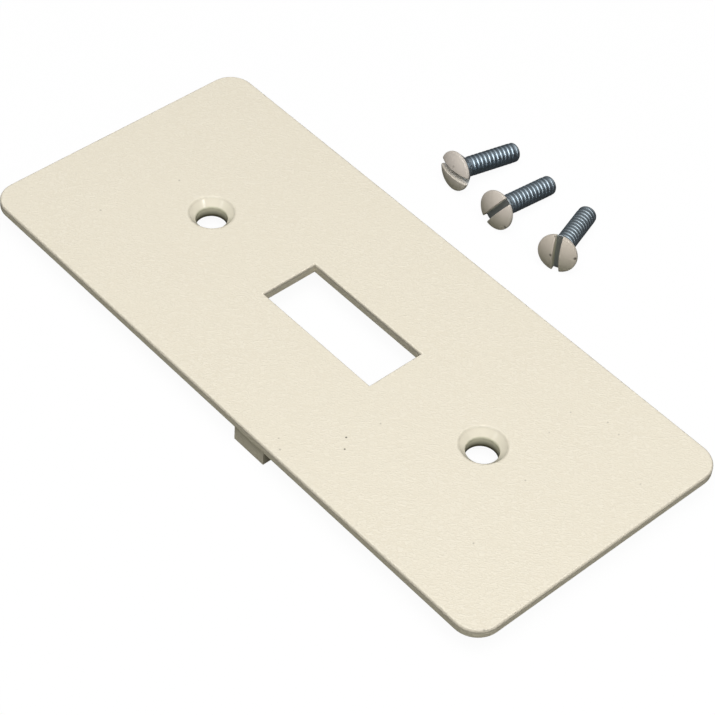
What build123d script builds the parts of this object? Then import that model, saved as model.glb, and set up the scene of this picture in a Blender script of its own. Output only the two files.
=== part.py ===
from build123d import *
from math import atan2, cos, degrees, radians, sin, tan
import os

os.makedirs("parts", exist_ok=True)

# Sizes are in millimetres. The origin is the middle of the plate's back face,
# +X runs along the plate and +Z out of its painted front.

# Plate: a flat sheet steel blank with rounded corners
plate_length = 108.3
plate_width = 48.6
sheet_thickness = 1.6
corner_radius = 4.0
front_edge_radius = 0.4
back_edge_radius = 0.25

# Opening for the switch's toggle lever
toggle_length = 23.5
toggle_width = 10.0
toggle_edge_radius = 0.3

# Two screw holes, each a dimple pressed into the sheet: its front is the
# countersink, its back stands behind the plate, and a straight hole is pierced
# through its end
screw_spacing = 60.325
screw_hole_radius = 2.45
countersink_radius = 3.6
countersink_angle = 82.0
countersink_rim_round = 0.5
hole_mouth_round = 0.4
dimple_height = 1.55
dimple_end_width = 0.7
dimple_end_round = 0.3
dimple_root_round = 0.5

# Locating lugs: short bent strips welded to the back, one near each long edge.
# The bend is struck nearly square outside, so the leg is flat up to the plate.
lug_strip_width = 6.35
lug_strip_thickness = 1.5
lug_height = 3.4
lug_foot_length = 8.0
lug_outer_bend_radius = 0.2
lug_inner_bend_radius = 0.3
lug_end_radius = 0.8
lug_edge_inset = 0.6
lug_offset_from_middle = 7.33

# Oval-head machine screws, number 6 size
head_radius = 3.25
head_crown = 0.8
head_rim_land = 0.45
head_cone_angle = 82.0
neck_radius = 1.45
neck_length = 0.6
neck_round = 1.1
thread_radius = 1.62
screw_length = 12.6
tip_length = 0.6
tip_radius = 1.3
slot_width = 1.12
slot_depth = 1.45

# Where each screw lies: distance of its head along the plate and beyond the
# plate's far edge, heading of its tip and turn of its slot, in degrees
screw_1_along = -15.25
screw_1_beyond_edge = 13.0
screw_1_heading = 83.8
screw_1_slot_turn = 178.0

screw_2_along = -4.6
screw_2_beyond_edge = 11.9
screw_2_heading = 90.9
screw_2_slot_turn = 120.4

screw_3_along = 8.25
screw_3_beyond_edge = 12.65
screw_3_heading = 111.1
screw_3_slot_turn = 85.8

screw_places = [
    (screw_1_along, screw_1_beyond_edge, screw_1_heading, screw_1_slot_turn),
    (screw_2_along, screw_2_beyond_edge, screw_2_heading, screw_2_slot_turn),
    (screw_3_along, screw_3_beyond_edge, screw_3_heading, screw_3_slot_turn),
]

# How close two sizes are that count as the same when an edge is picked
same_size = 0.001

# Sizes of the dimple that follow from the ones above
cone_slope = tan(radians(countersink_angle / 2))
hole_mouth_z = sheet_thickness - (countersink_radius - screw_hole_radius) / cone_slope
dimple_end_radius = screw_hole_radius + dimple_end_width
dimple_root_radius = dimple_end_radius + dimple_height * cone_slope


def rings_of(part, radius, height):
    """Round edges of one radius that lie at one height."""
    rings = part.edges().filter_by(GeomType.CIRCLE)
    rings = rings.filter_by(lambda ring: abs(ring.radius - radius) < same_size)
    return rings.filter_by(lambda ring: abs(ring.arc_center.Z - height) < same_size)


# The plate itself, with its opening and its two dimpled screw holes
with BuildPart() as faceplate:
    with BuildSketch(Plane.XY):
        RectangleRounded(plate_length, plate_width, corner_radius)
    extrude(amount=sheet_thickness)
    front = faceplate.faces().sort_by(Axis.Z)[-1]
    back = faceplate.faces().sort_by(Axis.Z)[0]
    fillet(front.edges(), front_edge_radius)
    fillet(back.edges(), back_edge_radius)

    with BuildSketch(Plane.XY):
        Rectangle(toggle_length, toggle_width)
    extrude(amount=sheet_thickness, mode=Mode.SUBTRACT)
    opening_rim = (
        faceplate.edges()
        .group_by(Axis.Z)[-1]
        .filter_by(GeomType.LINE)
        .filter_by(lambda edge: abs(edge.center().X) <= toggle_length / 2 + same_size)
        .filter_by(lambda edge: abs(edge.center().Y) <= toggle_width / 2 + same_size)
    )
    fillet(opening_rim, toggle_edge_radius)

    with GridLocations(screw_spacing, 0, 2, 1):
        Cone(
            bottom_radius=dimple_end_radius,
            top_radius=dimple_root_radius,
            height=dimple_height,
            align=(Align.CENTER, Align.CENTER, Align.MAX),
        )
    fillet(rings_of(faceplate, dimple_root_radius, 0), dimple_root_round)
    fillet(rings_of(faceplate, dimple_end_radius, -dimple_height), dimple_end_round)

    with Locations(Plane.XY.offset(sheet_thickness)):
        with GridLocations(screw_spacing, 0, 2, 1):
            CounterSinkHole(
                screw_hole_radius,
                countersink_radius,
                counter_sink_angle=countersink_angle,
            )
    countersink_rims = rings_of(faceplate, countersink_radius, sheet_thickness)
    fillet(countersink_rims, countersink_rim_round)
    fillet(rings_of(faceplate, screw_hole_radius, hole_mouth_z), hole_mouth_round)

faceplate.part.label = "faceplate"
export_step(faceplate.part, "parts/faceplate.step")


# A lug is an L: its foot lies flat on the plate's back, its leg points away.
# side is -1 at the near long edge and +1 at the far one, half a turn apart.
def make_lug(side):
    leg_face_x = -side * lug_offset_from_middle
    leg_face_y = side * (plate_width / 2 - lug_edge_inset)
    section = Plane(
        origin=(leg_face_x, leg_face_y, 0),
        x_dir=(0, side, 0),
        z_dir=(side, 0, 0),
    )
    with BuildPart() as lug:
        with BuildSketch(section):
            with BuildLine():
                Polyline(
                    (0, 0),
                    (0, -lug_height),
                    (-lug_strip_thickness, -lug_height),
                    (-lug_strip_thickness, -lug_strip_thickness),
                    (-lug_foot_length, -lug_strip_thickness),
                    (-lug_foot_length, 0),
                    close=True,
                )
            make_face()
        extrude(amount=lug_strip_width / 2, both=True)

        along_plate = lug.edges().filter_by(Axis.X)
        outer_bend = along_plate.sort_by_distance((leg_face_x, leg_face_y, 0))[0]
        inner_bend = along_plate.sort_by_distance(
            (
                leg_face_x,
                leg_face_y - side * lug_strip_thickness,
                -lug_strip_thickness,
            )
        )[0]
        fillet(outer_bend, lug_outer_bend_radius)
        fillet(inner_bend, lug_inner_bend_radius)

        foot_corners = (
            lug.edges().filter_by(Axis.Z).sort_by(Axis.Y, reverse=side > 0)[-2:]
        )
        fillet(foot_corners, lug_end_radius)
    return lug


for name, side in (("near_locating_lug", -1), ("far_locating_lug", 1)):
    lug = make_lug(side)
    lug.part.label = name
    export_step(lug.part, f"parts/{name}.step")


# A loose screw rests on its head's rim and on the end of its shank
head_cone_height = (head_radius - neck_radius) / tan(radians(head_cone_angle / 2))
rest_run = screw_length - tip_length - head_rim_land
rest_tilt = atan2(head_radius - thread_radius, rest_run)
rim_height = head_radius * cos(rest_tilt) + head_rim_land * sin(rest_tilt) - lug_height


def screw_plane(along, beyond_edge, heading, slot_turn):
    """Plane on the head's rim: X along the slot, Z down the shank."""
    flat_axis = Vector(1, 0, 0).rotate(Axis.Z, heading)
    level = Vector(0, 0, 1).cross(flat_axis)
    shank = flat_axis.rotate(Axis((0, 0, 0), level), degrees(rest_tilt))
    slot = level.rotate(Axis((0, 0, 0), shank), slot_turn)
    rim_centre = (along, plate_width / 2 + beyond_edge, rim_height)
    return Plane(origin=rim_centre, x_dir=slot, z_dir=shank)


def make_screw(place):
    half_section = Plane(place.origin, x_dir=place.x_dir, z_dir=-place.y_dir)
    cone_end = head_rim_land + head_cone_height
    neck_end = cone_end + neck_length
    crown_sphere = (head_radius**2 + head_crown**2) / (2 * head_crown)
    with BuildPart() as screw:
        with BuildSketch(half_section) as section:
            with BuildLine():
                RadiusArc((0, -head_crown), (head_radius, 0), crown_sphere)
                Polyline(
                    (head_radius, 0),
                    (head_radius, head_rim_land),
                    (neck_radius, cone_end),
                    (neck_radius, neck_end),
                    (thread_radius, neck_end + thread_radius - neck_radius),
                    (thread_radius, screw_length - tip_length),
                    (tip_radius, screw_length),
                    (0, screw_length),
                    (0, -head_crown),
                )
            make_face()
            neck_corner = section.vertices().sort_by_distance((neck_radius, cone_end))[0]
            fillet(neck_corner, neck_round)
        revolve(axis=Axis(place.origin, place.z_dir))

        with BuildSketch(place.offset(slot_depth - head_crown)):
            Rectangle(3 * head_radius, slot_width)
        extrude(amount=-2 * slot_depth, mode=Mode.SUBTRACT)
    return screw


for number, where in enumerate(screw_places, start=1):
    name = f"cover_screw_{number}"
    screw = make_screw(screw_plane(*where))
    screw.part.label = name
    export_step(screw.part, f"parts/{name}.step")
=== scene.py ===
import bpy
import bmesh
from math import atan2, cos, hypot, pi, radians, sin, sqrt, tan
from mathutils import Matrix, Vector


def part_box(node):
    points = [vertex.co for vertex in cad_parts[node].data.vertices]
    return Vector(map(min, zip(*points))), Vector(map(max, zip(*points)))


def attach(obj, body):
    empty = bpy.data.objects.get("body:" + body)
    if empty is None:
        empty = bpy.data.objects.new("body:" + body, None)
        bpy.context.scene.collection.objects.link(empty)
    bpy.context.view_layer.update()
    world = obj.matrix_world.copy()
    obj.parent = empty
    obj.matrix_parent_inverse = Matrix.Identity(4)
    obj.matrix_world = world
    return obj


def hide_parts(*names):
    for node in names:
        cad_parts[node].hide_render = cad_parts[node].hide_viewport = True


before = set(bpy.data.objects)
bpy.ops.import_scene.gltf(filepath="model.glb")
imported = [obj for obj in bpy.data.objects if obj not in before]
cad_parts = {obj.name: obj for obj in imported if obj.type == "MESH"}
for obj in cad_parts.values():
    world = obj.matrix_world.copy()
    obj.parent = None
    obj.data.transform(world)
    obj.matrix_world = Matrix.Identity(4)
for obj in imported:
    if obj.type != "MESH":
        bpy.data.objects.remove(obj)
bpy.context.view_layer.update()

# Faceplate: one blank of steel sheet, pierced for the lever and dimpled for two screws.
# It is coated all over with ivory enamel, which bakes to a fine wrinkled skin; dark specks
# of handling dirt sit in it. Painted shade darkens the skin's creases, the rounded edges,
# all below the front face, and the screw holes, most at their bottom; the countersinks are painted
# lighter.
mm = 0.001
ivory = (0.823, 0.767, 0.638)
ivory_shaded_in_creases = (0.760, 0.697, 0.560)
aged_ivory = (0.805, 0.747, 0.612)
shaded_ivory = (0.66, 0.61, 0.47)
edge_shade_ivory = (0.43, 0.39, 0.31)
pooled_ivory_painted_lighter = (0.82, 0.768, 0.63)
hole_wall_shade = (0.72, 0.70, 0.54)
deep_hole_shade = (0.085, 0.080, 0.045)
dirt = (0.05, 0.045, 0.03)
wrinkle_length = 0.85
wrinkle_width = 0.40
wrinkle_heading = 45.0
wrinkle_height = 0.036
crease_width = 0.12
crease_depth = 0.5
mottle_per_mm = 0.12
aged_from, aged_share = 0.35, 0.6
wrinkled_roughness = (0.42, 0.54)
pooled_smoother = 0.30
enamel_specular = 0.4
hole_along = 60.325 / 2
hole_radius = 2.45
countersink_radius = 3.6
plate_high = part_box("faceplate")[1]
plate_front = plate_high[2] / mm
# Distances off a hole's axis at which the pooled enamel, painted lighter, and the painted shade on the
# hole's wall start and are full
pool_from, pool_full = countersink_radius + 0.2, countersink_radius - 0.3
hole_wall_shade_from, hole_wall_shade_full = hole_radius + 0.15, hole_radius + 0.02
# Depths below the front at which the painted shade deep in the holes, the painted shade below the front
# face and the painted shade on the rounded edges start and are full
deep_hole_shade_from, deep_hole_shade_full = 1.9, 2.9
below_front_shade_from, below_front_shade_full, below_front_shade_share = 0.3, 1.0, 0.7
edge_shade_from, edge_shade_full, edge_shade_share = 0.01, 0.10, 0.5
edge_shade_fades_from, edge_shade_ends = 0.40, 0.70
# The values that a noise seldom leaves
noise_low, noise_high = 0.3, 0.7
# Heights of the skin, before its bump scales them, at which it counts as sunk and as level, where its
# painted crease shade is full and gone
sunk_skin, level_skin = 0.3, 0.95
# A speck is full out to the first share of its radius and gone at the second
speck_core, speck_edge = 0.45, 1.5
# Each speck on the plate: along and across it, radius and darkness
plate_specks = [
    (-38.8, 0.55, 0.16, 0.3),
    (-40.9, -13.1, 0.16, 0.3),
    (30.0, 2.75, 0.16, 0.3),
    (38.6, 0.0, 0.13, 0.3),
    (13.0, -22.9, 0.16, 0.35),
    (11.3, -21.7, 0.13, 0.3),
    (53.5, -22.2, 0.19, 0.4),
    (53.8, -21.8, 0.16, 0.4),
    (42.1, -13.3, 0.14, 0.3),
    (38.3, 16.8, 0.14, 0.3),
    (40.9, 16.35, 0.13, 0.3),
    (34.4, 8.9, 0.13, 0.25),
    (33.6, 14.0, 0.13, 0.25),
    (49.2, 12.1, 0.13, 0.25),
    (17.1, -14.2, 0.14, 0.95),
    (18.6, -15.8, 0.13, 0.95),
    (18.2, -8.7, 0.14, 0.3),
]


class Nodes:
    """A node tree laid one node at a time, each fed by plain values or by other nodes."""

    def __init__(self, tree):
        self.tree = tree

    def feed(self, node, socket, value):
        """Give a node's socket a plain value, or what another node puts out."""
        place = node.inputs[socket]
        if hasattr(value, "is_output"):
            self.tree.links.new(value, place)
        else:
            place.default_value = value

    def lay(self, kind, feeds=(), **settings):
        """A new node of this kind, with its settings made and its sockets fed."""
        node = self.tree.nodes.new(kind)
        for setting, value in settings.items():
            setattr(node, setting, value)
        for socket, value in dict(feeds).items():
            self.feed(node, socket, value)
        return node

    def math(self, operation, *values):
        """One step of reckoning with plain values or with what other nodes put out."""
        return self.lay("ShaderNodeMath", dict(enumerate(values)), operation=operation).outputs[0]

    def ramp(self, value, low, high, at_low=0.0, at_high=1.0, kind="LINEAR"):
        """Turn a value that runs from low to high into one that runs from at_low to at_high."""
        feeds = {"Value": value, "From Min": low, "From Max": high}
        feeds.update({"To Min": at_low, "To Max": at_high})
        return self.lay("ShaderNodeMapRange", feeds, interpolation_type=kind).outputs[0]

    def parts(self, vector):
        """The x, y and z of a vector."""
        return self.lay("ShaderNodeSeparateXYZ", {0: vector}).outputs


class Finish(Nodes):
    """A surface finish: the nodes of one material."""

    def __init__(self, name):
        self.material = bpy.data.materials.new(name)
        self.material.use_nodes = True
        super().__init__(self.material.node_tree)
        self.shader = self.tree.nodes["Principled BSDF"]

    def blend(self, share, first, second):
        """The first colour, with this share of the second over it."""
        node = self.lay("ShaderNodeMix", data_type="RGBA")
        for identifier, value in (("Factor_Float", share), ("A_Color", first), ("B_Color", second)):
            socket = [one.identifier for one in node.inputs].index(identifier)
            self.feed(node, socket, (*value, 1.0) if isinstance(value, tuple) else value)
        return next(one for one in node.outputs if one.identifier == "Result_Color")

    def place_in_mm(self):
        """Where a point lies in the part's own frame."""
        place = self.lay("ShaderNodeTexCoord").outputs["Object"]
        feeds = {"Vector": place, "Scale": (1 / mm, 1 / mm, 1 / mm)}
        return self.lay("ShaderNodeMapping", feeds).outputs[0]

    def noise(self, place, per_mm, detail=2.0, roughness=0.5, distortion=0.0):
        """A cloudy value of 0 to 1, with this many clouds to the mm."""
        feeds = {"Vector": place, "Scale": per_mm, "Detail": detail}
        feeds.update({"Roughness": roughness, "Distortion": distortion})
        return self.lay("ShaderNodeTexNoise", feeds).outputs["Fac"]

    def bump(self, height, in_mm):
        """Raise the surface by a height of 0 to 1, times this many mm."""
        laid = self.lay("ShaderNodeBump", {"Strength": 1.0, "Distance": in_mm * mm, "Height": height})
        self.feed(self.shader, "Normal", laid.outputs[0])

    def darkening(self, colour, place, specks):
        """The colour with specks of dirt in it, each (x, y, z, radius, darkness) in mm."""
        dirty = 0.0
        for x, y, z, radius, darkness in specks:
            feeds = {0: place, 1: (x, y, z)}
            away = self.lay("ShaderNodeVectorMath", feeds, operation="DISTANCE").outputs["Value"]
            core, edge = speck_core * radius, speck_edge * radius
            spot = self.ramp(away, core, edge, darkness, 0.0, "SMOOTHSTEP")
            dirty = self.math("MAXIMUM", dirty, spot)
        return self.blend(dirty, colour, dirt)


def wrinkled_enamel(finish, place, height_in_mm, pooled_and_lit=0.0):
    """Lay the enamel's wrinkled skin on a finish, smooth where it pooled, and give its colour, with
    painted shade in its sunk creases and painted lighter where it pooled.
    """
    turned = finish.lay(
        "ShaderNodeMapping",
        {
            "Vector": place,
            "Rotation": (0.0, 0.0, radians(wrinkle_heading)),
            "Scale": (wrinkle_length, wrinkle_width, wrinkle_width),
        },
        vector_type="TEXTURE",
    ).outputs[0]
    swell = finish.noise(turned, 1.0, detail=1.5, distortion=0.3)
    off_crease = finish.math("ABSOLUTE", finish.math("SUBTRACT", swell, 0.5))
    skin = finish.ramp(off_crease, 0.0, crease_width, kind="SMOOTHSTEP")
    skin = finish.math("MULTIPLY_ADD", skin, crease_depth, swell)
    skin = finish.math("MULTIPLY", skin, finish.math("SUBTRACT", 1.0, pooled_and_lit))
    mottle = finish.noise(place, mottle_per_mm, detail=3.0, roughness=0.6)
    # Painted shade: the sunk creases of the skin are darker.
    crease_shade = finish.ramp(skin, sunk_skin, level_skin, 1.0, 0.0)
    colour = finish.blend(crease_shade, ivory, ivory_shaded_in_creases)
    aged = finish.ramp(mottle, aged_from, noise_high, 0.0, aged_share)
    colour = finish.blend(aged, colour, aged_ivory)
    # Painted light: where the enamel pooled in a countersink it is painted lighter.
    colour = finish.blend(pooled_and_lit, colour, pooled_ivory_painted_lighter)
    rough = finish.ramp(swell, noise_low, noise_high, *wrinkled_roughness)
    rough = finish.math("MULTIPLY_ADD", pooled_and_lit, -pooled_smoother, rough)
    finish.feed(finish.shader, "Roughness", rough)
    finish.shader.inputs["Specular IOR Level"].default_value = enamel_specular
    finish.bump(skin, height_in_mm)
    return colour


def coat(node_name, material):
    """Give a solid this finish in place of its own."""
    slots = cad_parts[node_name].data.materials
    slots.clear()
    slots.append(material)


plate_enamel = Finish("plate_ivory_enamel")
place = plate_enamel.place_in_mm()
x, y, z = plate_enamel.parts(place)
depth = plate_enamel.math("SUBTRACT", plate_front, z)
off_hole = plate_enamel.math("SUBTRACT", plate_enamel.math("ABSOLUTE", x), hole_along)
off_hole = plate_enamel.math("POWER", off_hole, 2.0)
off_hole = plate_enamel.math("SQRT", plate_enamel.math("MULTIPLY_ADD", y, y, off_hole))
in_cone = plate_enamel.ramp(off_hole, pool_from, pool_full)
in_hole = plate_enamel.ramp(off_hole, hole_wall_shade_from, hole_wall_shade_full)
deep_hole_shade_share = plate_enamel.ramp(depth, deep_hole_shade_from, deep_hole_shade_full)
colour = wrinkled_enamel(plate_enamel, place, wrinkle_height, in_cone)
off_cone = plate_enamel.math("SUBTRACT", 1.0, in_cone)
# Painted shade: everything below the front face, the side walls and the back, is darker, except in the
# countersinks.
below_front_shade = plate_enamel.ramp(depth, below_front_shade_from, below_front_shade_full, 0.0, below_front_shade_share)
below_front_shade = plate_enamel.math("MULTIPLY", below_front_shade, off_cone)
colour = plate_enamel.blend(below_front_shade, colour, shaded_ivory)
# Painted shade: a darker line on the rounded edges just below the front.
painted_edge_shade = plate_enamel.ramp(depth, edge_shade_from, edge_shade_full, 0.0, edge_shade_share)
near_front = plate_enamel.ramp(depth, edge_shade_ends, edge_shade_fades_from)
painted_edge_shade = plate_enamel.math("MULTIPLY", painted_edge_shade, near_front)
painted_edge_shade = plate_enamel.math("MULTIPLY", painted_edge_shade, off_cone)
colour = plate_enamel.blend(painted_edge_shade, colour, edge_shade_ivory)
# Painted shade on the screw holes' walls, darkest toward their bottom.
colour = plate_enamel.blend(in_hole, colour, hole_wall_shade)
colour = plate_enamel.blend(plate_enamel.math("MULTIPLY", in_hole, deep_hole_shade_share), colour, deep_hole_shade)
specks = [(x, y, plate_front, radius, darkness) for x, y, radius, darkness in plate_specks]
colour = plate_enamel.darkening(colour, place, specks)
plate_enamel.feed(plate_enamel.shader, "Base Color", colour)
coat("faceplate", plate_enamel.material)

# Locating lugs: two short strips of steel, bent to an L and spot welded to the plate's
# back before it is coated, so the same enamel covers them, smoother, darkened all over by painted
# shade.
lug_wrinkle_height = 0.5 * wrinkle_height
lug_shade_share = 0.3
lug_enamel = Finish("lug_ivory_enamel")
colour = wrinkled_enamel(lug_enamel, lug_enamel.place_in_mm(), lug_wrinkle_height)
# Painted shade: the whole lug is darkened toward the shaded ivory.
colour = lug_enamel.blend(lug_shade_share, colour, shaded_ivory)
lug_enamel.feed(lug_enamel.shader, "Base Color", colour)
for lug in ("near_locating_lug", "far_locating_lug"):
    coat(lug, lug_enamel.material)

# Screw heads: oval heads with a sawn slot, headed and slotted in steel wire, zinc plated
# and then painted on top, pinker than the plate. The paint rounds every edge and ends at the
# cone below it. Painted shade darkens a ring round the rim, the lower side of each head and
# the slots of the second and third screws; the first screw's slot is painted lighter.
head_radius = 3.25
head_crown = 0.8
head_rim_land = 0.45
head_cone_angle = 82.0
neck_radius = 1.45
neck_length = 0.6
neck_round = 1.1
thread_radius = 1.62
screw_length = 12.6
tip_length = 0.6
slot_width = 1.12
slot_depth = 1.45
lug_height = -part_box("near_locating_lug")[0][2] / mm
plate_far_edge = plate_high[1] / mm
paint_grid = 0.07
paint_settling = 0.5
paint_rounds = 12
pink_ivory = (0.785, 0.712, 0.645)
buff_ivory = (0.745, 0.68, 0.605)
rim_shade_colour = (0.25, 0.235, 0.20)
darker_ivory = (0.675, 0.605, 0.515)
low_shade_olive = (0.50, 0.48, 0.37)
lit_slot_ivory = (0.95, 0.92, 0.87)
slot_shade_olive = (0.54, 0.53, 0.37)
head_roughness = (0.34, 0.46)
lumps_per_mm = 0.9
peel_per_mm = 1.4
peel_height = 0.02
# Heights above the plate's back at which the painted shade on a head's lower side starts and is full
low_shade_from, low_shade_full, low_shade_share = 1.0, -2.0, 0.6
# Distances off the axis at which the painted shade round the rim starts and is full
rim_shade_from, rim_shade_full, rim_shade_share = 0.94 * head_radius, 0.99 * head_radius, 0.2
# Distances off the slot's middle, and depths below the crown, at which the slot's painted light and
# painted shade start and are full
slot_side_from, slot_side_full = 0.60 * slot_width, 0.48 * slot_width
slot_light_shade_from, slot_light_shade_full = 0.1 * slot_depth, 0.6 * slot_depth
# Depths past the rim, also in the slot, at which the plating starts to show and is bare
bare_from, bare_full = head_rim_land - 0.05, head_rim_land + 0.25
# Each speck on the heads: its place, radius and darkness
head_specks = [
    (7.78, 35.95, -0.17, 0.22, 0.75),
    (11.06, 37.98, 0.35, 0.24, 0.8),
    (7.30, 36.95, 2.84, 0.18, 0.5),
    (-1.97, 35.92, -1.55, 0.20, 0.7),
    (-15.06, 36.79, 1.27, 0.22, 0.3),
    (-11.96, 36.93, -0.55, 0.16, 0.4),
]
dull_zinc = (0.48, 0.53, 0.56)
# Where each screw lies: its head along the plate and beyond the far edge, then the heading
# of its tip and the turn of its slot, in degrees
screw_places = {
    "cover_screw_1": (-15.25, 13.0, 83.8, 178.0),
    "cover_screw_2": (-4.6, 11.9, 90.9, 120.4),
    "cover_screw_3": (8.25, 12.65, 111.1, 85.8),
}
# How much each screw is darkened, from 0 to 1: darker paint and zinc, rougher zinc, and painted shade
# in place of painted light in its slot
screw_darkening = {"cover_screw_1": 0.0, "cover_screw_2": 0.45, "cover_screw_3": 1.0}
cone_slope = tan(radians(head_cone_angle / 2))
cone_end = head_rim_land + (head_radius - neck_radius) / cone_slope
neck_end = cone_end + neck_length
crown_sphere = (head_radius**2 + head_crown**2) / (2 * head_crown)
rest_tilt = atan2(head_radius - thread_radius, screw_length - tip_length - head_rim_land)
rim_height = head_radius * cos(rest_tilt) + head_rim_land * sin(rest_tilt) - lug_height


def screw_place(along, beyond_edge, heading, slot_turn):
    """From the screw's own frame, in mm, to where it lies: X along its slot, Z down its shank."""
    flat = Vector((cos(radians(heading)), sin(radians(heading)), 0))
    level = Vector((0, 0, 1)).cross(flat)
    shank = flat * cos(rest_tilt) - Vector((0, 0, 1)) * sin(rest_tilt)
    slot = level * cos(radians(slot_turn)) + shank.cross(level) * sin(radians(slot_turn))
    across = shank.cross(slot)
    turn = Matrix((slot, across, shank)).transposed().to_4x4()
    rim_centre = Vector((along, plate_far_edge + beyond_edge, rim_height))
    return Matrix.Scale(mm, 4) @ Matrix.Translation(rim_centre) @ turn


def crown_depth(off_axis):
    """How deep the crown's surface lies at a distance off the axis; the rim is at 0."""
    return crown_sphere - head_crown - sqrt(crown_sphere**2 - min(off_axis, head_radius) ** 2)


def head_outline():
    """Half the head's section, from the top of its crown to the end of its neck, as (radius, depth)."""
    crown_steps = 24
    points = []
    for step in range(crown_steps + 1):
        off_axis = head_radius * step / crown_steps
        points.append((off_axis, crown_depth(off_axis)))
    points.append((head_radius, head_rim_land))
    half_turn = radians(head_cone_angle / 2) / 2
    round_centre = (neck_radius + neck_round, cone_end + neck_round * tan(half_turn))
    round_steps = 8
    for step in range(round_steps + 1):
        angle = 2 * half_turn * (1 - step / round_steps)
        radius = round_centre[0] - neck_round * cos(angle)
        depth = round_centre[1] - neck_round * sin(angle)
        points.append((radius, depth))
    points.append((neck_radius, neck_end))
    return points


def spun(name, outline, around=160):
    """A closed solid spun about Z from an outline of (radius, depth)."""
    solid = bmesh.new()
    rings = []
    for radius, depth in outline:
        if radius == 0:
            rings.append([solid.verts.new((0, 0, depth))])
            continue
        turns = [2 * pi * step / around for step in range(around)]
        rings.append([solid.verts.new((radius * cos(t), radius * sin(t), depth)) for t in turns])
    for upper, lower in zip(rings, rings[1:]):
        for step in range(around):
            after = (step + 1) % around
            if len(upper) == 1:
                solid.faces.new((upper[0], lower[after], lower[step]))
            else:
                solid.faces.new((upper[step], upper[after], lower[after], lower[step]))
    solid.faces.new(rings[-1])
    bmesh.ops.recalc_face_normals(solid, faces=solid.faces)
    mesh = bpy.data.meshes.new(name)
    solid.to_mesh(mesh)
    solid.free()
    return bpy.data.objects.new(name, mesh)


def finished_mesh(worked):
    """The plain mesh that an object's modifiers make of it; the modifiers come off."""
    bpy.context.view_layer.update()
    seen = worked.evaluated_get(bpy.context.evaluated_depsgraph_get())
    mesh = bpy.data.meshes.new_from_object(seen)
    worked.modifiers.clear()
    return mesh


def note(mesh, name, value_at):
    """Write a number on every point of a mesh, for its material to read."""
    values = mesh.attributes.new(name, "FLOAT", "POINT")
    for point, written in zip(mesh.vertices, values.data):
        written.value = value_at(*point.co)


def painted_head():
    """A head with its slot sawn, dipped in paint that rounds its edges."""
    head = spun("head_blank", head_outline())
    saw = bpy.data.objects.new("slot_saw", bpy.data.meshes.new("slot_saw"))
    blade = bmesh.new()
    bmesh.ops.create_cube(blade, size=1)
    bmesh.ops.scale(blade, vec=(3 * head_radius, slot_width, 2 * slot_depth), verts=blade.verts)
    bmesh.ops.translate(blade, vec=(0, 0, -head_crown), verts=blade.verts)
    blade.to_mesh(saw.data)
    blade.free()
    for tool in (head, saw):
        bpy.context.collection.objects.link(tool)
    cut = head.modifiers.new("slot", "BOOLEAN")
    cut.operation = "DIFFERENCE"
    cut.solver = "EXACT"
    cut.object = saw
    dip = head.modifiers.new("paint_skin", "REMESH")
    dip.mode = "VOXEL"
    dip.voxel_size = paint_grid
    settle = head.modifiers.new("paint_settles", "SMOOTH")
    settle.factor = paint_settling
    settle.iterations = paint_rounds
    mesh = finished_mesh(head)
    for tool in (head, saw):
        bpy.data.objects.remove(tool)
    mesh.shade_smooth()
    note(mesh, "off_axis", lambda x, y, z: hypot(x, y))
    note(mesh, "below_crown", lambda x, y, z: z - crown_depth(hypot(x, y)))
    note(mesh, "off_slot", lambda x, y, z: abs(y))
    note(mesh, "past_rim", lambda x, y, z: z)
    return mesh


def lay_copy(name, mesh, place, material, stands_for, darkening):
    """Lay a copy of a screw's mesh where that screw lies, as a piece of the object."""
    laid = mesh.copy()
    laid.transform(place)
    note(laid, "darkening", lambda x, y, z: darkening)
    laid.materials.clear()
    laid.materials.append(material)
    piece = bpy.data.objects.new(name, laid)
    bpy.context.collection.objects.link(piece)
    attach(piece, "root")
    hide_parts(stands_for)


head_enamel = Finish("head_ivory_enamel")
place = head_enamel.place_in_mm()
lump = head_enamel.noise(place, lumps_per_mm)
read = {
    name: head_enamel.lay("ShaderNodeAttribute", attribute_name=name).outputs["Fac"]
    for name in ("off_axis", "below_crown", "off_slot", "past_rim", "darkening")
}
cloud = head_enamel.ramp(lump, noise_low, noise_high)
colour = head_enamel.blend(cloud, pink_ivory, buff_ivory)
# The darkening share makes the second and third heads darker.
colour = head_enamel.blend(read["darkening"], colour, darker_ivory)
# Painted shade: the lower side of each head is darker and more olive.
low = head_enamel.ramp(head_enamel.parts(place)[2], low_shade_from, low_shade_full, 0.0, low_shade_share)
colour = head_enamel.blend(low, colour, low_shade_olive)
# Painted shade: a dark ring round the rim.
rim_shade = head_enamel.ramp(read["off_axis"], rim_shade_from, rim_shade_full, 0.0, rim_shade_share)
colour = head_enamel.blend(rim_shade, colour, rim_shade_colour)
# In the slot, painted light on the first screw and painted shade on the others.
in_slot = head_enamel.ramp(read["off_slot"], slot_side_from, slot_side_full)
deep = head_enamel.ramp(read["below_crown"], slot_light_shade_from, slot_light_shade_full)
in_slot = head_enamel.math("MULTIPLY", in_slot, deep)
slot_light_and_shade = head_enamel.blend(read["darkening"], lit_slot_ivory, slot_shade_olive)
colour = head_enamel.blend(in_slot, colour, slot_light_and_shade)
colour = head_enamel.darkening(colour, place, head_specks)
bare = head_enamel.ramp(read["past_rim"], bare_from, bare_full)
colour = head_enamel.blend(bare, colour, dull_zinc)
head_enamel.feed(head_enamel.shader, "Base Color", colour)
head_enamel.feed(head_enamel.shader, "Metallic", bare)
rough = head_enamel.ramp(lump, noise_low, noise_high, *head_roughness)
head_enamel.feed(head_enamel.shader, "Roughness", rough)
head_enamel.bump(head_enamel.noise(place, peel_per_mm), peel_height)
head_mesh = painted_head()
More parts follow.
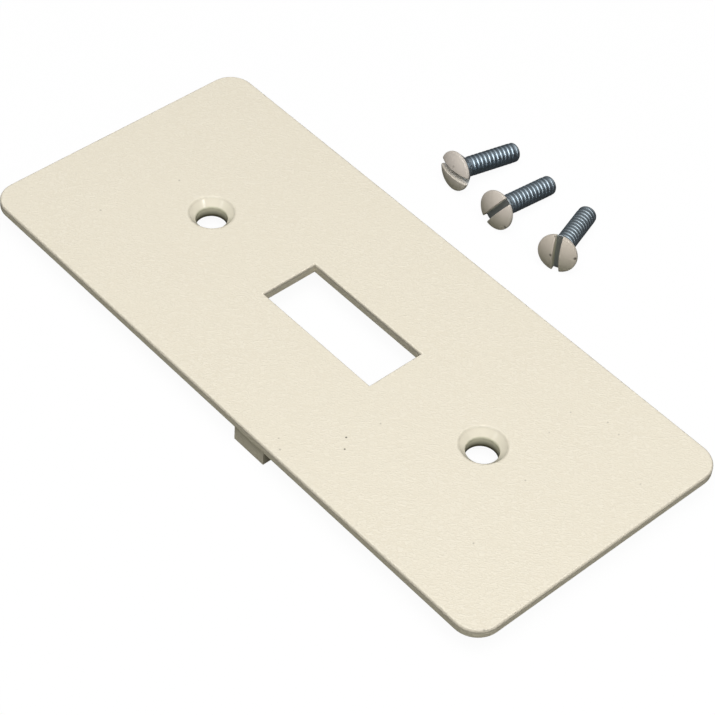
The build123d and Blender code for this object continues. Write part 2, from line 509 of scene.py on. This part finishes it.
for screw, where in screw_places.items():
    lay_copy(
        screw + "_head",
        head_mesh,
        screw_place(*where),
        head_enamel.material,
        screw,
        screw_darkening[screw],
    )

# Screw shanks: the same wire below the head, with a number 6 thread rolled on it, 32
# turns to the inch, so the ridge stands above the wire and the valleys sink below it.
# The bluish zinc plating stays bare here and shines on the ridge; painted shade darkens it down the
# flanks into the valleys.
thread_pitch = 25.4 / 32
valley_radius = 1.54
ridge_foot = 0.78
ridge_top = 0.30
ridge_sunk = 0.02
thread_into_neck = 0.75
thread_off_tip = 0.45
thread_start = neck_end - thread_into_neck
thread_end = screw_length - thread_off_tip
# The ridge rises over the first share of its length and sinks over the last, to part of its height
ridge_rise, ridge_at_start = 0.088, 0.02
ridge_sink, ridge_at_end = 0.055, 0.3
turn_steps = 48
wire_steps = 64
wire_rings = 120
wire_into_head = 0.3
neck_taper = 0.8
tip_radius = 1.585
tip_blank = 0.75
tip_round_length = 0.40
tip_round_end = 0.81
zinc = (0.42, 0.51, 0.58)
flank_shaded_zinc = (0.39, 0.47, 0.53)
valley_shaded_zinc = (0.36, 0.43, 0.49)
darker_zinc = (0.29, 0.33, 0.35)
darker_zinc_share = 0.6
valley_roughness, crest_roughness = 0.40, 0.34
darkening_roughness = 0.12
patches_per_mm, patch_share = 1.2, 0.12
grain_per_mm, grain_height = 14.0, 0.0012
flank_from, flank_full = 0.10, 0.45
crest_from, crest_full = 0.55, 0.90


class Recipe(Nodes):
    """A Geometry Nodes tree whose sizes are named inputs."""

    def __init__(self, name, sizes):
        super().__init__(bpy.data.node_groups.new(name, "GeometryNodeTree"))
        interface = self.tree.interface
        interface.new_socket("Geometry", in_out="OUTPUT", socket_type="NodeSocketGeometry")
        self.values = {}
        for size, value in sizes.items():
            kind = "NodeSocketMaterial" if size == "Material" else "NodeSocketFloat"
            socket = interface.new_socket(size, in_out="INPUT", socket_type=kind)
            self.values[socket.identifier] = value
        self.sizes = self.tree.nodes.new("NodeGroupInput").outputs

    def vector(self, **along):
        """A vector from its x, y or z; what isn't given is 0."""
        feeds = {axis.upper(): value for axis, value in along.items()}
        return self.lay("ShaderNodeCombineXYZ", feeds).outputs[0]

    def moved(self, geometry, **how):
        """The same geometry, moved or turned."""
        return self.lay("GeometryNodeTransform", {0: geometry, **how}).outputs[0]

    def made(self, name, geometry):
        """End the tree, and give the plain mesh that it makes."""
        real = self.lay("GeometryNodeRealizeInstances", {0: geometry}).outputs[0]
        dressed = self.lay("GeometryNodeSetMaterial", {0: real, "Material": self.sizes["Material"]})
        self.lay("NodeGroupOutput", {0: dressed.outputs[0]})
        maker = bpy.data.objects.new(name, bpy.data.meshes.new(name))
        modifier = maker.modifiers.new(name, "NODES")
        modifier.node_group = self.tree
        for identifier, value in self.values.items():
            modifier[identifier] = value
        bpy.context.collection.objects.link(maker)
        mesh = finished_mesh(maker)
        bpy.data.objects.remove(maker)
        mesh.shade_smooth()
        return mesh


bright_zinc = Finish("bright_zinc")
place = bright_zinc.place_in_mm()
ridge = bright_zinc.lay("ShaderNodeAttribute", attribute_name="ridge").outputs["Fac"]
patches = bright_zinc.noise(place, patches_per_mm, detail=3.0, roughness=0.6)
uneven = bright_zinc.ramp(patches, noise_low, noise_high, -patch_share, patch_share)
height = bright_zinc.math("ADD", ridge, uneven)
# Painted shade: the zinc is darker down the flanks and darker still in the valleys.
flank = bright_zinc.ramp(height, flank_from, flank_full)
crest = bright_zinc.ramp(height, crest_from, crest_full)
colour = bright_zinc.blend(flank, valley_shaded_zinc, flank_shaded_zinc)
colour = bright_zinc.blend(crest, colour, zinc)
darkening = bright_zinc.lay("ShaderNodeAttribute", attribute_name="darkening").outputs["Fac"]
# The darkening share makes the zinc of the second and third screws darker and rougher.
zinc_darkening = bright_zinc.math("MULTIPLY", darkening, darker_zinc_share)
colour = bright_zinc.blend(zinc_darkening, colour, darker_zinc)
bright_zinc.feed(bright_zinc.shader, "Base Color", colour)
bright_zinc.shader.inputs["Metallic"].default_value = 1.0
rough = bright_zinc.ramp(height, 0.0, crest_full, valley_roughness, crest_roughness)
rough = bright_zinc.math("MULTIPLY_ADD", darkening, darkening_roughness, rough)
bright_zinc.feed(bright_zinc.shader, "Roughness", rough)
bright_zinc.bump(bright_zinc.noise(place, grain_per_mm), grain_height)

thread = Recipe(
    "rolled_thread",
    {
        "Pitch": thread_pitch,
        "Valley Radius": valley_radius,
        "Crest Radius": thread_radius,
        "Ridge Foot": ridge_foot,
        "Ridge Top": ridge_top,
        "Ridge Sunk": ridge_sunk,
        "Ridge Rise": ridge_rise,
        "Ridge At Start": ridge_at_start,
        "Ridge Sink": ridge_sink,
        "Ridge At End": ridge_at_end,
        "Neck Radius": neck_radius,
        "Neck Taper": neck_taper,
        "Wire Into Head": wire_into_head,
        "Tip Radius": tip_radius,
        "Tip Blank": tip_blank,
        "Tip Round Length": tip_round_length,
        "Tip Round End": tip_round_end,
        "Start": thread_start,
        "End": thread_end,
        "Length": screw_length,
        "Material": bright_zinc.material,
    },
)
size = thread.sizes
run = thread.math("SUBTRACT", size["End"], size["Start"])
helix = thread.lay(
    "GeometryNodeCurveSpiral",
    {
        "Resolution": turn_steps,
        "Rotations": thread.math("DIVIDE", run, size["Pitch"]),
        "Start Radius": size["Valley Radius"],
        "End Radius": size["Valley Radius"],
        "Height": run,
    },
).outputs[0]
helix = thread.lay("GeometryNodeSetCurveNormal", {0: helix}, mode="Z_UP").outputs[0]
ridge_height = thread.math("SUBTRACT", size["Crest Radius"], size["Valley Radius"])
section_height = thread.math("ADD", ridge_height, size["Ridge Sunk"])
section = thread.lay(
    "GeometryNodeCurvePrimitiveQuadrilateral",
    {
        "Height": section_height,
        "Bottom Width": size["Ridge Foot"],
        "Top Width": size["Ridge Top"],
        "Offset": 0.0,
    },
    mode="TRAPEZOID",
).outputs[0]
lift = thread.math("SUBTRACT", thread.math("MULTIPLY", section_height, 0.5), size["Ridge Sunk"])
section = thread.moved(section, Translation=thread.vector(y=lift))
section = thread.moved(section, Rotation=(0.0, 0.0, pi / 2))
along = thread.lay("GeometryNodeSplineParameter").outputs["Factor"]
sink_from = thread.math("SUBTRACT", 1.0, size["Ridge Sink"])
fade = thread.math(
    "MINIMUM",
    thread.ramp(along, 0.0, size["Ridge Rise"], size["Ridge At Start"], 1.0),
    thread.ramp(along, sink_from, 1.0, 1.0, size["Ridge At End"]),
)
ridge = thread.lay(
    "GeometryNodeCurveToMesh", {0: helix, 1: section, "Scale": fade, "Fill Caps": True}
).outputs[0]
ridge = thread.moved(ridge, Translation=thread.vector(z=size["Start"]))

core_line = thread.lay(
    "GeometryNodeCurvePrimitiveLine",
    {
        "Start": thread.vector(z=thread.math("SUBTRACT", size["Start"], size["Wire Into Head"])),
        "End": thread.vector(z=size["Length"]),
    },
).outputs[0]
core_line = thread.lay("GeometryNodeResampleCurve", {0: core_line, "Count": wire_rings}).outputs[0]
depth = thread.parts(thread.lay("GeometryNodeInputPosition").outputs[0])[2]
narrowing = thread.ramp(
    depth,
    size["Start"],
    thread.math("ADD", size["Start"], size["Neck Taper"]),
    size["Neck Radius"],
    size["Valley Radius"],
)
blank_start = thread.math("SUBTRACT", size["Length"], size["Tip Blank"])
tip_start = thread.math("SUBTRACT", size["Length"], size["Tip Round Length"])
swelling = thread.ramp(depth, blank_start, tip_start, size["Valley Radius"], size["Tip Radius"])
into_tip = thread.math("POWER", thread.ramp(depth, tip_start, size["Length"]), 2.0)
tip_round = thread.ramp(into_tip, 0.0, 1.0, 1.0, size["Tip Round End"])
wire = thread.lay("GeometryNodeCurvePrimitiveCircle", {"Resolution": wire_steps, "Radius": 1.0})
core = thread.lay(
    "GeometryNodeCurveToMesh",
    {
        0: core_line,
        1: wire.outputs[0],
        "Scale": thread.math("MULTIPLY", thread.math("MAXIMUM", narrowing, swelling), tip_round),
        "Fill Caps": True,
    },
).outputs[0]
joined = thread.lay("GeometryNodeJoinGeometry")
for part in (ridge, core):
    thread.feed(joined, 0, part)
x, y = thread.parts(thread.lay("GeometryNodeInputPosition").outputs[0])[:2]
off_axis = thread.math("MULTIPLY_ADD", x, x, thread.math("MULTIPLY", y, y))
off_axis = thread.math("SQRT", off_axis)
marked = thread.lay(
    "GeometryNodeStoreNamedAttribute",
    {
        0: joined.outputs[0],
        "Name": "ridge",
        "Value": thread.ramp(off_axis, size["Valley Radius"], size["Crest Radius"]),
    },
    data_type="FLOAT",
    domain="POINT",
).outputs[0]
shank_mesh = thread.made("rolled_thread", marked)
for screw, where in screw_places.items():
    lay_copy(
        screw + "_shank",
        shank_mesh,
        screw_place(*where),
        bright_zinc.material,
        screw,
        screw_darkening[screw],
    )

# Studio: the parts lie on a white sheet in a tent that is brightest overhead on the
# camera's side, with a softbox over the near right and two small lamps. The camera sees
# sheet and backdrop white; the metal mirrors the backdrop pale and the sheet dark.
floor_size = 4.0
sheet_gap = 0.02
white_sheet = (0.95, 0.95, 0.95)
white_to_camera = 0.95
grey_to_parts = (0.17, 0.17, 0.13)
grey_to_metal = (0.06, 0.06, 0.06)
brightest = (0.183, -0.183, 0.966)
tent_strength = 3.20
tent_gather = 8.0
backdrop_middle = (-0.183, 0.183, 0.966)
backdrop_strength = 0.65
backdrop_gather = 2.0
floor_place = (0, 0, -(lug_height + sheet_gap) * mm)
bpy.ops.mesh.primitive_plane_add(size=floor_size, location=floor_place)
floor = bpy.context.object
floor.name = "studio_floor"
sheet = Finish("studio_white")
sheet.tree.nodes.remove(sheet.shader)
path = sheet.lay("ShaderNodeLightPath").outputs
seen = sheet.math("MAXIMUM", path["Is Camera Ray"], path["Is Transmission Ray"])
paper = sheet.blend(path["Is Glossy Ray"], grey_to_parts, grey_to_metal)
paper = sheet.blend(seen, paper, white_sheet)
matt = sheet.lay("ShaderNodeBsdfDiffuse", {"Color": paper}).outputs[0]
glow = sheet.lay("ShaderNodeEmission", {"Strength": 1.0}).outputs[0]
share = sheet.math("MULTIPLY", seen, white_to_camera)
mixed = sheet.lay("ShaderNodeMixShader", {0: share, 1: matt, 2: glow}).outputs[0]
sheet.feed(sheet.tree.nodes["Material Output"], "Surface", mixed)
floor.data.materials.append(sheet.material)

world = bpy.data.worlds.new("studio_tent")
bpy.context.scene.world = world
world.use_nodes = True
tent = Nodes(world.node_tree)
toward = tent.lay("ShaderNodeTexCoord").outputs["Generated"]
path = tent.lay("ShaderNodeLightPath").outputs
mirrored = tent.math("MULTIPLY", path["Is Glossy Ray"], backdrop_strength)
shine = 0.0
for middle, gather, strength in (
    (brightest, tent_gather, tent_strength),
    (backdrop_middle, backdrop_gather, mirrored),
):
    facing = tent.lay("ShaderNodeVectorMath", {0: toward, 1: middle}, operation="DOT_PRODUCT")
    facing = tent.math("MAXIMUM", facing.outputs["Value"], 0.0)
    shine = tent.math("MULTIPLY_ADD", tent.math("POWER", facing, gather), strength, shine)
seen = tent.math("MAXIMUM", path["Is Camera Ray"], path["Is Transmission Ray"])
cloth = world.node_tree.nodes["Background"]
tent.feed(cloth, "Color", (1.0, 1.0, 1.0, 1.0))
tent.feed(cloth, "Strength", tent.math("MAXIMUM", seen, shine))


def lamp(name, width, height, energy, where):
    """A lamp behind a cloth of this width and height, that looks at the middle of the parts."""
    light = bpy.data.lights.new(name, "AREA")
    light.shape = "RECTANGLE"
    light.size = width
    light.size_y = height
    light.energy = energy
    stand = bpy.data.objects.new(name, light)
    look = (-Vector(where)).to_track_quat("-Z", "Y").to_matrix().to_4x4()
    stand.matrix_world = Matrix.Translation(where) @ look
    bpy.context.collection.objects.link(stand)


lamp("near_right_softbox", width=0.40, height=0.40, energy=1.36, where=(0.12, -0.12, 0.53))
lamp("right_lamp", width=0.06, height=0.09, energy=0.26, where=(0.418, 0.053, 0.311))
lamp("near_left_lamp", width=0.06, height=0.09, energy=0.12, where=(-0.082, -0.462, 0.292))

# Camera: it stands off the plate's near right corner, a third of a metre from the parts,
# and looks down on them with a long lens, rolled a little.
azimuth = radians(44.82)
elevation = radians(46.72)
roll = radians(4.90)
distance = 0.3319
target = Vector((0.00660, -0.00275, 0.00159))
back = Vector((sin(azimuth) * cos(elevation), -cos(azimuth) * cos(elevation), sin(elevation)))
camera = bpy.data.cameras.new("photo_camera")
camera.lens = 115.40
camera.sensor_width = 36
camera.clip_start = 0.01
camera_object = bpy.data.objects.new("photo_camera", camera)
look = (-back).to_track_quat("-Z", "Y").to_matrix().to_4x4()
rolled = Matrix.Rotation(roll, 4, "Z")
camera_object.matrix_world = Matrix.Translation(target + back * distance) @ look @ rolled
bpy.context.collection.objects.link(camera_object)
bpy.context.scene.camera = camera_object
bpy.context.scene.view_settings.view_transform = "Standard"
